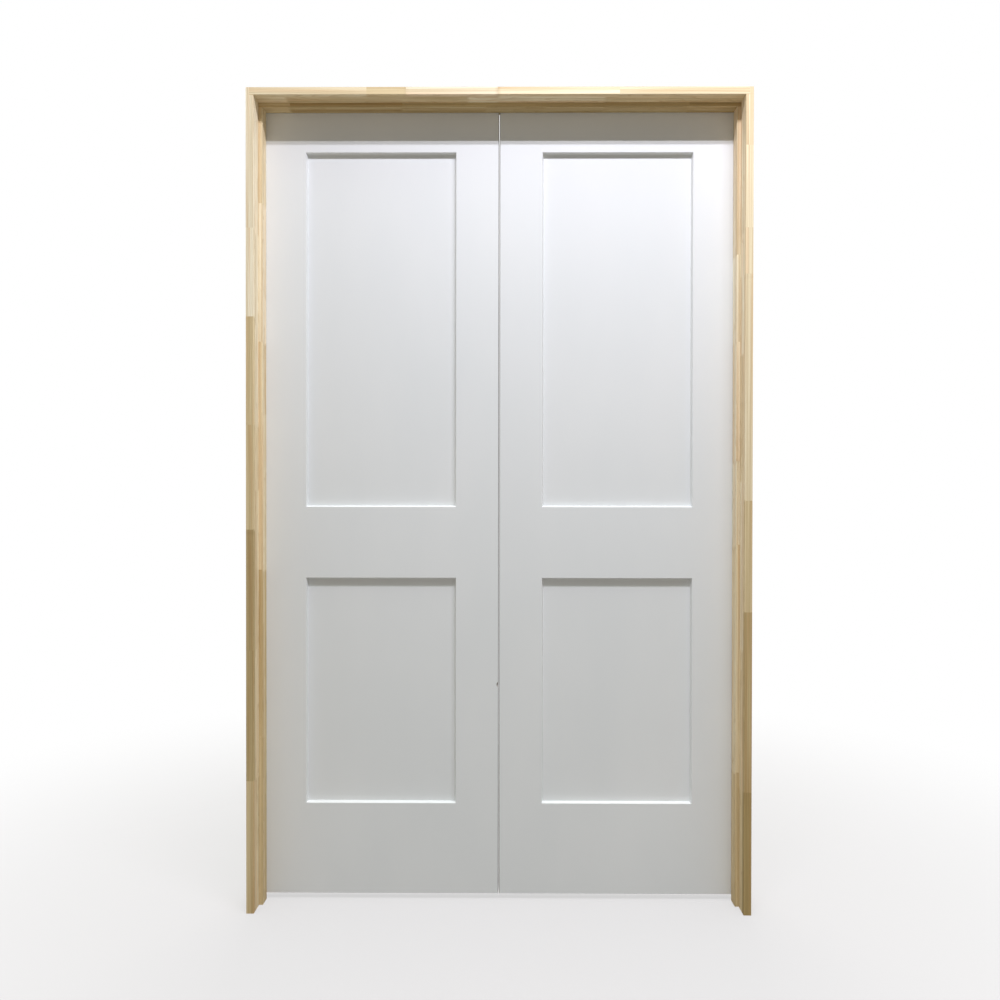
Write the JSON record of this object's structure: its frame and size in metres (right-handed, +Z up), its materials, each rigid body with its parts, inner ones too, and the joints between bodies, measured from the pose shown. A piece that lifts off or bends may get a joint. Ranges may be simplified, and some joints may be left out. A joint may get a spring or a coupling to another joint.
{
  "type": "french doors",
  "caption": "Double interior door with flat recessed panels, hung on butt hinges in a plain timber frame that is ready to be set in a wall opening.",
  "frame": {"origin": "on the floor, at the middle of the doorway and of the frame's depth", "axes": "+X across the doorway, +Y through it towards the side that the leaves open to, +Z up"},
  "size_m": [1.2662, 0.128, 2.069],
  "materials": {
    "bare_pine": "matte",
    "primer": "matte",
    "satin_nickel": "satin",
    "plain_steel": "satin"
  },
  "bodies": {
    "frame": {"left_jamb": "bare_pine", "right_jamb": "bare_pine", "head": "bare_pine", "left_stop": "bare_pine", "right_stop": "bare_pine", "head_stop": "bare_pine", "head_staples": "plain_steel", "stop_brads": "plain_steel", "jamb_hinge_screws": "satin_nickel", "strike_screws": "satin_nickel", "left_top_hinge_jamb_plate": "satin_nickel", "left_top_hinge_pin": "satin_nickel", "left_middle_hinge_jamb_plate": "satin_nickel", "left_middle_hinge_pin": "satin_nickel", "left_bottom_hinge_jamb_plate": "satin_nickel", "left_bottom_hinge_pin": "satin_nickel", "right_top_hinge_jamb_plate": "satin_nickel", "right_top_hinge_pin": "satin_nickel", "right_middle_hinge_jamb_plate": "satin_nickel", "right_middle_hinge_pin": "satin_nickel", "right_bottom_hinge_jamb_plate": "satin_nickel", "right_bottom_hinge_pin": "satin_nickel", "left_catch_strike": "satin_nickel", "right_catch_strike": "satin_nickel"},
    "left_leaf": {"left_hinge_stile": "primer", "left_meeting_stile": "primer", "left_top_rail": "primer", "left_middle_rail": "primer", "left_bottom_rail": "primer", "left_upper_panel": "primer", "left_lower_panel": "primer", "left_top_hinge_leaf_plate": "satin_nickel", "left_middle_hinge_leaf_plate": "satin_nickel", "left_bottom_hinge_leaf_plate": "satin_nickel", "left_leaf_hinge_screws": "satin_nickel", "left_catch_faceplate": "satin_nickel", "left_catch_barrel": "satin_nickel", "left_catch_spring": "plain_steel", "left_catch_screws": "satin_nickel"},
    "left_ball": {"left_catch_ball": "satin_nickel"},
    "right_leaf": {"right_hinge_stile": "primer", "right_meeting_stile": "primer", "right_top_rail": "primer", "right_middle_rail": "primer", "right_bottom_rail": "primer", "right_upper_panel": "primer", "right_lower_panel": "primer", "right_top_hinge_leaf_plate": "satin_nickel", "right_middle_hinge_leaf_plate": "satin_nickel", "right_bottom_hinge_leaf_plate": "satin_nickel", "right_leaf_hinge_screws": "satin_nickel", "right_catch_faceplate": "satin_nickel", "right_catch_barrel": "satin_nickel", "right_catch_spring": "plain_steel", "right_catch_screws": "satin_nickel"},
    "right_ball": {"right_catch_ball": "satin_nickel"}
  },
  "joints": [
    {"name": "left_leaf_swing", "type": "hinge", "parent": "frame", "child": "left_leaf", "pos_m": [-0.6126, 0.0645, 0], "axis": [0, 0, 1], "range_deg": [0, 175]},
    {"name": "left_ball_press", "type": "slide", "parent": "left_leaf", "child": "left_ball", "axis": [0, 0, 1], "range_m": [-0.003, 0], "stiffness_N_per_m": 2000, "springref_m": 0.004, "deforming": ["left_catch_spring"]},
    {"name": "right_leaf_swing", "type": "hinge", "parent": "frame", "child": "right_leaf", "pos_m": [0.6126, 0.0645, 0], "axis": [0, 0, -1], "range_deg": [0, 175]},
    {"name": "right_ball_press", "type": "slide", "parent": "right_leaf", "child": "right_ball", "axis": [0, 0, 1], "range_m": [-0.003, 0], "stiffness_N_per_m": 2000, "springref_m": 0.004, "deforming": ["right_catch_spring"]}
  ]
}
